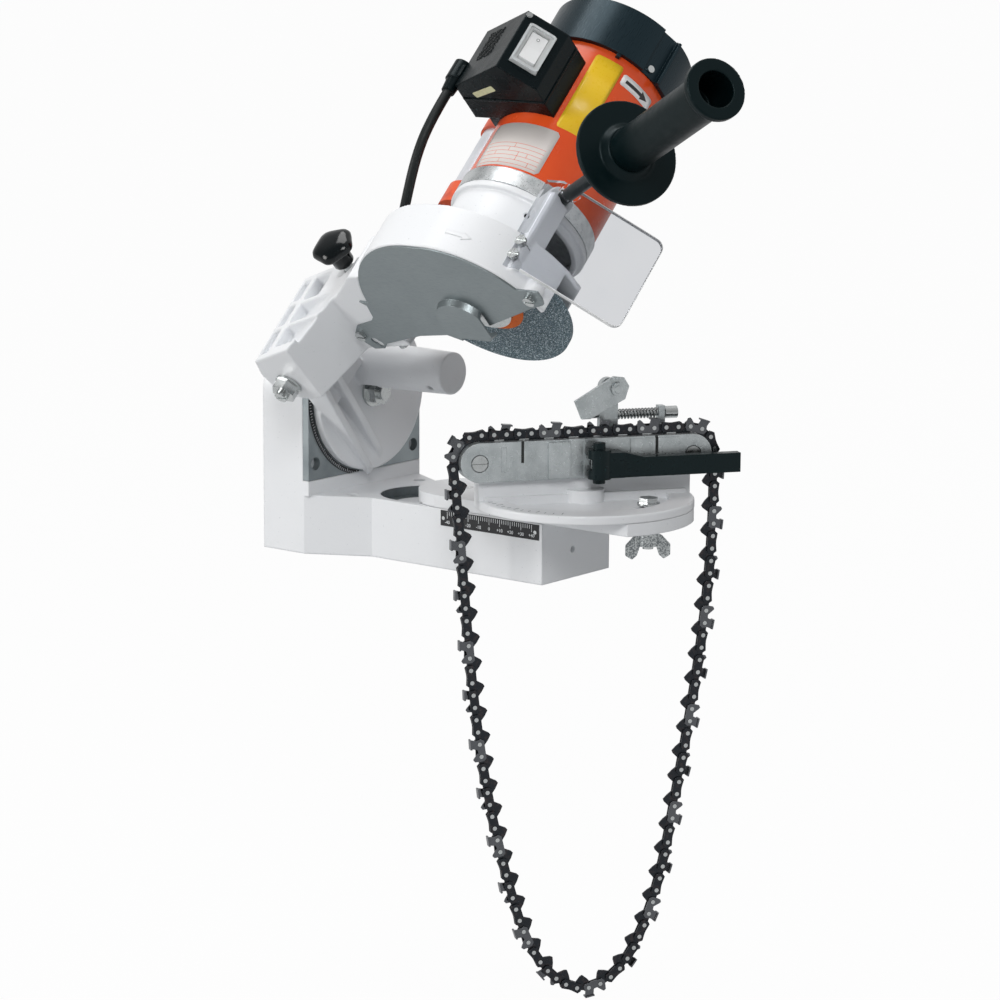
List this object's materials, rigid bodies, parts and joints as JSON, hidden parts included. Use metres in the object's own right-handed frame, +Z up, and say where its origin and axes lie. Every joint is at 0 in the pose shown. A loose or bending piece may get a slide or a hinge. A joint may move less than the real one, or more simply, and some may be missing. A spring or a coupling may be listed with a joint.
{
  "type": "electric chainsaw sharpener",
  "caption": "Bench-mounted electric grinder for saw chains: a tilting, swinging motor head with a guarded wheel over a sliding, swivelling rail vise that holds the chain.",
  "frame": {"origin": "middle of the underside of the base, where it is bolted down", "axes": "+X along the base towards the operator, +Y to the back, +Z up"},
  "size_m": [0.5144, 0.3021, 0.7529],
  "materials": {
    "white_paint": "speckled gloss",
    "grey_steel": "ground",
    "bright_steel": "zinc plated",
    "scale_black": "satin",
    "bronze": "turned",
    "spring_steel": "drawn",
    "orange_paint": "gloss",
    "cast_alloy": "turned",
    "black_plastic": "gloss",
    "white_plastic": "gloss",
    "clear_plastic": "clear",
    "cord_rubber": "matt",
    "abrasive": "gritty",
    "orange_paper": "matt",
    "winding": "varnished",
    "chain_steel": "blued",
    "chrome_steel": "plated",
    "zinc_steel": "zinc plated",
    "can_alloy": "satin",
    "lever_black": "satin"
  },
  "bodies": {
    "base": {"base": "white_paint", "column_plate": "grey_steel", "scale_plates": "scale_black", "scale_rivets": "bright_steel", "tilt_bolt": "bright_steel"},
    "tilt_bracket": {"tilt_bracket": "white_paint", "nuts_and_washers": "bright_steel", "hinge_bolt": "bright_steel", "hinge_bushes": "bronze", "return_spring": "spring_steel"},
    "head": {"swing_arm": "white_paint", "wheel_guard": "white_paint", "guard_cover": "grey_steel", "head_screws": "bright_steel", "motor_flange": "cast_alloy", "motor_housing": "orange_paint", "stator": "winding", "bearings": "bright_steel", "rear_end_bell": "cast_alloy", "fan_cowl": "black_plastic", "capacitor": "can_alloy", "capacitor_clamp": "orange_paint", "switch_box": "black_plastic", "switch_lid": "black_plastic", "switch_module": "clear_plastic", "cable_gland": "black_plastic", "mains_cord": "cord_rubber", "cord_coil": "cord_rubber", "mains_plug": "cord_rubber", "visor": "clear_plastic", "handle_rod": "lever_black", "hand_guard": "black_plastic", "grip": "black_plastic"},
    "spindle": {"motor_shaft": "bright_steel", "rotor": "cast_alloy", "cooling_fan": "black_plastic", "grinding_wheel": "abrasive", "wheel_blotters": "orange_paper", "wheel_flanges": "bright_steel", "spindle_nut": "bright_steel"},
    "rocker": {"switch_rocker": "white_plastic"},
    "depth_screw": {"depth_screw": "bright_steel"},
    "depth_knob": {"depth_knob": "black_plastic"},
    "cross_slide": {"slide_arm": "white_paint", "table_bolts": "bright_steel"},
    "wing_nut": {"wing_nut": "zinc_steel"},
    "vise": {"swivel_plate": "white_paint", "back_rail": "zinc_steel", "rail_screws": "bright_steel", "clamp_rod": "bright_steel", "chain_drive_links": "chain_steel", "chain_tie_straps": "chain_steel", "chain_cutters": "chrome_steel", "chain_rivets": "bright_steel", "stop_spring": "spring_steel"},
    "jaw": {"front_rail": "zinc_steel"},
    "clamp_lever": {"clamp_lever": "lever_black"},
    "stop_screw": {"stop_screw": "bright_steel"},
    "stop_slide": {"stop_slide": "zinc_steel"},
    "chain_stop": {"chain_stop": "zinc_steel"}
  },
  "joints": [
    {"name": "head_tilt", "type": "hinge", "parent": "base", "child": "tilt_bracket", "pos_m": [-0.08, 0, 0.12], "axis": [1, 0, 0], "range_deg": [-15, 15]},
    {"name": "head_swing", "type": "hinge", "parent": "tilt_bracket", "child": "head", "pos_m": [-0.0595, -0.06505, 0.18505], "axis": [0, 0.7071, 0.7071], "range_deg": [0, 18], "stiffness_Nm_per_rad": 16, "springref_deg": -57.3},
    {"name": "spindle_spin", "type": "hinge", "parent": "head", "child": "spindle", "pos_m": [0.1153, -0.0997, 0.2197], "axis": [0, 0.7071, 0.7071], "continuous": true},
    {"name": "switch_rocker", "type": "hinge", "parent": "head", "child": "rocker", "pos_m": [0.12354, -0.0536, 0.39068], "axis": [0.6996, 0.5052, -0.5052], "range_deg": [0, 15]},
    {"name": "depth_feed", "type": "slide", "parent": "head", "child": "depth_screw", "axis": [0, -0.7071, 0.7071], "range_m": [-0.005, 0.005]},
    {"name": "depth_knob_turn", "type": "hinge", "parent": "depth_screw", "child": "depth_knob", "pos_m": [-0.0175, -0.10819, 0.24516], "axis": [0, -0.7071, 0.7071], "range_deg": [-1205, 1205]},
    {"name": "cross_slide", "type": "slide", "parent": "base", "child": "cross_slide", "axis": [1, 0, 0], "range_m": [-0.04, 0.04]},
    {"name": "wing_nut_turn", "type": "hinge", "parent": "cross_slide", "child": "wing_nut", "pos_m": [0.18058, 0.01628, 0.035], "axis": [0, 0, 1], "range_deg": [0, 180]},
    {"name": "vise_swivel", "type": "hinge", "parent": "cross_slide", "child": "vise", "pos_m": [0.1333, 0, 0.06], "axis": [0, 0, 1], "range_deg": [0, 70]},
    {"name": "clamp_lever_turn", "type": "hinge", "parent": "vise", "child": "clamp_lever", "pos_m": [0.15091, -0.00501, 0.0885], "axis": [0, 0, 1], "range_deg": [-90, 0]},
    {"name": "jaw_open", "type": "slide", "parent": "vise", "child": "jaw", "axis": [0.8192, -0.5736, 0], "range_m": [0, 0.00081]},
    {"name": "stop_screw_turn", "type": "hinge", "parent": "vise", "child": "stop_screw", "pos_m": [0.16313, 0.06457, 0.12], "axis": [0.5736, 0.8192, 0], "range_deg": [-1805, 0]},
    {"name": "stop_shift", "type": "slide", "parent": "vise", "child": "stop_slide", "axis": [0.5736, 0.8192, 0], "range_m": [-0.004, 0]},
    {"name": "chain_stop_flip", "type": "hinge", "parent": "stop_slide", "child": "chain_stop", "pos_m": [0.14764, 0.02048, 0.141], "axis": [0.8192, -0.5736, 0], "range_deg": [-110, 0]}
  ],
  "couplings": [
    {"joint": "depth_knob_turn", "follows": "depth_feed", "rad_per_m": 4188.8},
    {"joint": "jaw_open", "follows": "clamp_lever_turn", "m_per_rad": -0.0005093},
    {"joint": "stop_screw_turn", "follows": "stop_shift", "rad_per_m": 7854}
  ]
}
